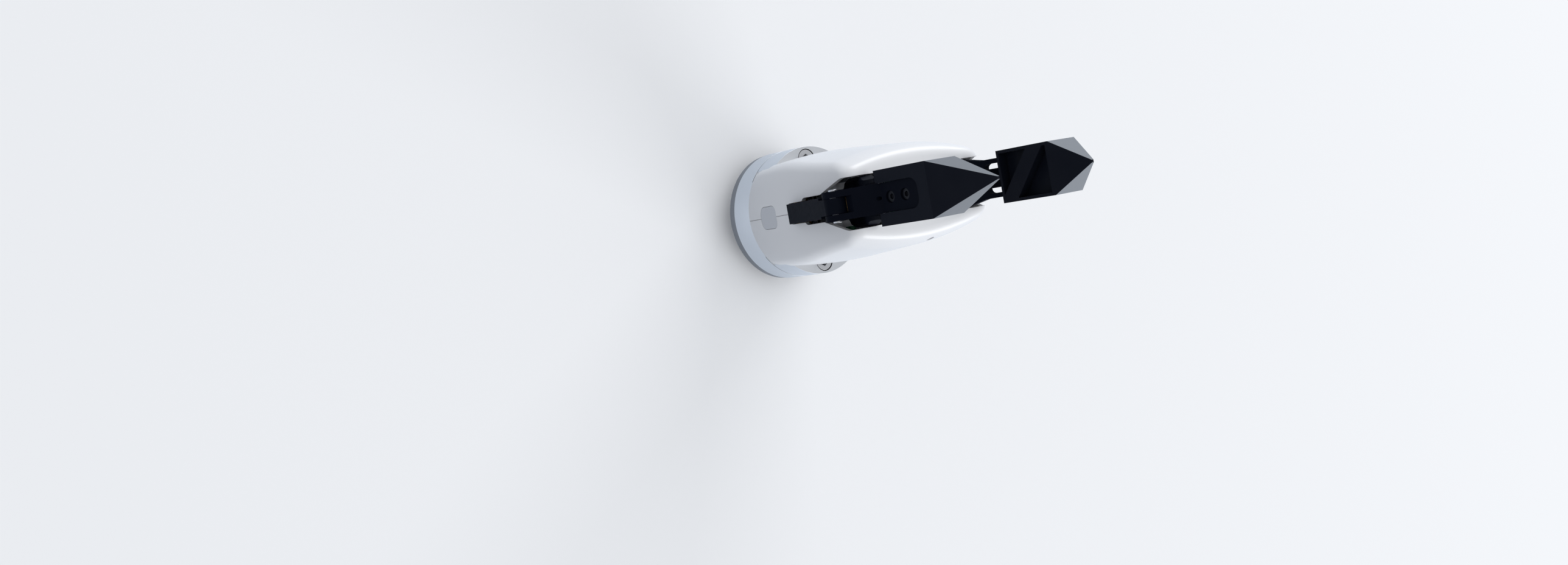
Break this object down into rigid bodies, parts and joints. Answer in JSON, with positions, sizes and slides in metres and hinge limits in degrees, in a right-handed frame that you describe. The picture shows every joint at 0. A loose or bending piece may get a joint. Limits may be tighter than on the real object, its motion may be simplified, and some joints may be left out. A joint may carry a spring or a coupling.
{
  "type": "electric two finger gripper",
  "caption": "Electric robot gripper with parallel jaws on four-bar links, pointed fingertips, a barrel-shaped two-part shell and a round bolted tool flange.",
  "frame": {"origin": "centre of the mounting face of the tool flange, where the base plate meets the robot", "axes": "+Z along the tool axis from the flange to the fingertips, Y along the gripping direction, X along the hinge axes"},
  "size_m": [0.063, 0.1256, 0.1877],
  "materials": {
    "white_shell": "smooth gloss white, injection moulded",
    "grey_plastic": "smooth grey",
    "bare_aluminium": "fine turned, bead blasted, clear anodised",
    "frame_aluminium": "milled",
    "dark_metal": "dark grey anodised",
    "black_aluminium": "black anodised, satin",
    "charcoal_plastic": "matt charcoal moulding",
    "black_plastic": "matt black",
    "steel": "ground steel",
    "motor_steel": "blackened steel can",
    "black_steel": "black oxide",
    "bronze": "machined bronze",
    "board": "green circuit board"
  },
  "bodies": {
    "base": {"base_plate": "dark_metal", "mounting_flange": "bare_aluminium", "locating_pin": "steel", "mounting_screw_a": "steel", "mounting_screw_b": "steel", "connector_socket": "black_plastic", "shell_half_a": "white_shell", "shell_half_b": "white_shell", "side_plug_left": "grey_plastic", "side_plug_right": "grey_plastic", "shell_screws": "black_steel", "frame": "frame_aluminium", "motor": "motor_steel", "gearhead": "steel", "worm_bearing_lower": "steel", "worm_bearing_upper": "steel", "encoder": "board", "control_board": "board", "left_outer_shaft": "steel", "right_outer_shaft": "steel", "left_inner_stubs": "steel", "right_inner_stubs": "steel", "left_thrust_bushes": "bronze", "right_thrust_bushes": "bronze"},
    "worm_shaft": {"worm": "steel"},
    "right_drive_arm": {"right_outer_knuckle": "black_aluminium", "right_gear_sector": "bronze"},
    "left_drive_arm": {"left_outer_knuckle": "black_aluminium", "left_gear_sector": "bronze"},
    "right_guide_arm": {"right_inner_knuckle": "black_aluminium", "right_inner_pin": "steel"},
    "left_guide_arm": {"left_inner_knuckle": "black_aluminium", "left_inner_pin": "steel"},
    "right_jaw": {"right_finger": "black_aluminium", "right_finger_pin": "steel", "right_fingertip": "charcoal_plastic", "right_fingertip_screws": "black_steel"},
    "left_jaw": {"left_finger": "black_aluminium", "left_finger_pin": "steel", "left_fingertip": "charcoal_plastic", "left_fingertip_screws": "black_steel"}
  },
  "joints": [
    {"name": "right_drive", "type": "hinge", "parent": "base", "child": "right_drive_arm", "pos_m": [0, 0.035, 0.0591], "axis": [1, 0, 0], "range_deg": [-15.65, 31.1]},
    {"name": "left_drive", "type": "hinge", "parent": "base", "child": "left_drive_arm", "pos_m": [0, -0.035, 0.0591], "axis": [1, 0, 0], "range_deg": [-31.1, 15.65]},
    {"name": "right_guide", "type": "hinge", "parent": "base", "child": "right_guide_arm", "pos_m": [0, 0.02, 0.0741], "axis": [1, 0, 0], "range_deg": [-15.65, 31.1]},
    {"name": "left_guide", "type": "hinge", "parent": "base", "child": "left_guide_arm", "pos_m": [0, -0.02, 0.0741], "axis": [1, 0, 0], "range_deg": [-31.1, 15.65]},
    {"name": "right_jaw_pivot", "type": "hinge", "parent": "right_drive_arm", "child": "right_jaw", "pos_m": [0, 0.05781, 0.10915], "axis": [1, 0, 0], "range_deg": [-31.1, 15.65]},
    {"name": "left_jaw_pivot", "type": "hinge", "parent": "left_drive_arm", "child": "left_jaw", "pos_m": [0, -0.05781, 0.10915], "axis": [1, 0, 0], "range_deg": [-15.65, 31.1]},
    {"name": "worm_spin", "type": "hinge", "parent": "base", "child": "worm_shaft", "pos_m": [0, 0, 0.06], "axis": [0, 0, 1], "range_deg": [-704.25, 1399.5]}
  ],
  "couplings": [
    {"joint": "left_drive", "follows": "right_drive", "ratio": -1},
    {"joint": "right_guide", "follows": "right_drive", "ratio": 1},
    {"joint": "left_guide", "follows": "right_drive", "ratio": -1},
    {"joint": "right_jaw_pivot", "follows": "right_drive", "ratio": -1},
    {"joint": "left_jaw_pivot", "follows": "right_drive", "ratio": 1},
    {"joint": "worm_spin", "follows": "right_drive", "ratio": 45}
  ]
}
